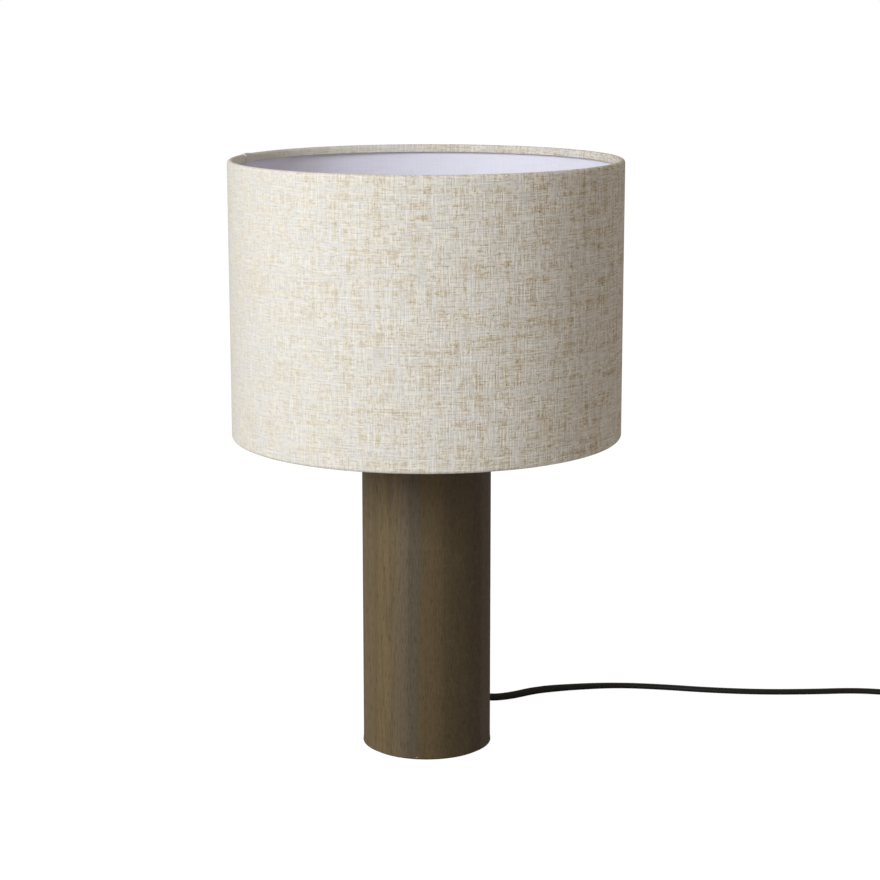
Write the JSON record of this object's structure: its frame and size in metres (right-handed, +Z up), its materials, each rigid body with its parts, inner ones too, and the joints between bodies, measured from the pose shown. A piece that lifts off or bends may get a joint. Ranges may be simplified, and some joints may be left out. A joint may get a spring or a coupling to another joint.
{
  "type": "table lamp",
  "caption": "Table lamp with a veneered round column, a linen drum shade, a screw lampholder with bulb, and a mains cord with rocker switch and flat plug.",
  "frame": {"origin": "centre of the felt foot's underside, on the surface that the lamp stands on", "axes": "+Z up the column's axis, -Y towards the front, the mains cord leaves at the back right"},
  "size_m": [0.6582, 0.3, 0.46],
  "materials": {
    "felt": "pressed black felt",
    "fibreboard": "raw fibreboard",
    "iron": "black-painted casting",
    "zinc_steel": "zinc-plated",
    "walnut_veneer": "matt-lacquered walnut veneer, grain upright",
    "black_plastic": "fine-textured black moulding",
    "pale_insulator": "cream insulating moulding",
    "brass": "pressed brass",
    "brown_sheath": "brown insulation",
    "blue_sheath": "blue insulation",
    "black_cord": "matt black flat sheath",
    "black_tie": "black tie band",
    "nickel": "nickel-plated",
    "white_wire": "white powder coat",
    "linen": "slubbed natural linen",
    "white_lining": "white laminated lining",
    "black_glass": "black insulator",
    "white_plastic": "white moulding",
    "opal_white": "opal diffuser, satin"
  },
  "bodies": {
    "base": {"felt_foot": "felt", "base_disc": "fibreboard", "ballast_weight": "iron", "ballast_screw": "zinc_steel", "ballast_washer": "zinc_steel", "ballast_nut": "zinc_steel", "column_core": "fibreboard", "veneer_skin": "walnut_veneer", "top_disc": "fibreboard", "top_veneer": "walnut_veneer", "threaded_nipple": "zinc_steel", "nipple_washer": "zinc_steel", "nipple_nut": "zinc_steel", "cover_washer": "zinc_steel", "holder_dome": "black_plastic", "holder_set_screw": "black_plastic", "holder_skirt": "black_plastic", "holder_core": "pale_insulator", "screw_shell": "brass", "centre_contact": "brass", "live_terminal": "brass", "neutral_terminal": "brass", "terminal_screws": "zinc_steel", "live_conductor": "brown_sheath", "neutral_conductor": "blue_sheath", "cord_bush": "black_plastic", "inner_cord": "black_cord", "lamp_cord": "black_cord", "switch_lower": "black_plastic", "switch_upper": "black_plastic", "switch_contacts": "brass", "switch_screws": "zinc_steel", "switch_link": "black_cord", "cord_coil": "black_cord", "coil_tie": "black_tie", "cord_tail": "black_cord", "plug_body": "black_plastic", "plug_pins": "nickel"},
    "shade": {"shade_fitter": "white_wire", "shade_arms": "white_wire", "bottom_ring": "white_wire", "top_ring": "white_wire", "shade_cover": "linen", "shade_liner": "white_lining"},
    "lower_ring": {"lower_shade_ring": "black_plastic"},
    "upper_ring": {"upper_shade_ring": "black_plastic"},
    "bulb": {"bulb_contact": "nickel", "bulb_insulator": "black_glass", "bulb_cap": "nickel", "bulb_collar": "white_plastic", "bulb_globe": "opal_white"},
    "rocker": {"switch_rocker": "black_plastic"}
  },
  "joints": [
    {"name": "shade_turn", "type": "hinge", "parent": "base", "child": "shade", "pos_m": [0, 0, 0.3005], "axis": [0, 0, 1], "continuous": true},
    {"name": "lower_ring_turn", "type": "hinge", "parent": "base", "child": "lower_ring", "pos_m": [0, 0, 0.2985], "axis": [0, 0, 1], "range_deg": [-720, 0]},
    {"name": "upper_ring_turn", "type": "hinge", "parent": "base", "child": "upper_ring", "pos_m": [0, 0, 0.3045], "axis": [0, 0, 1], "range_deg": [0, 2160]},
    {"name": "bulb_turn", "type": "hinge", "parent": "base", "child": "bulb", "pos_m": [0, 0, 0.32], "axis": [0, 0, 1], "range_deg": [0, 1800]},
    {"name": "rocker_tilt", "type": "hinge", "parent": "base", "child": "rocker", "pos_m": [0.415, 0.041, 0.0115], "axis": [1, 0, 0], "range_deg": [0, 14]}
  ]
}
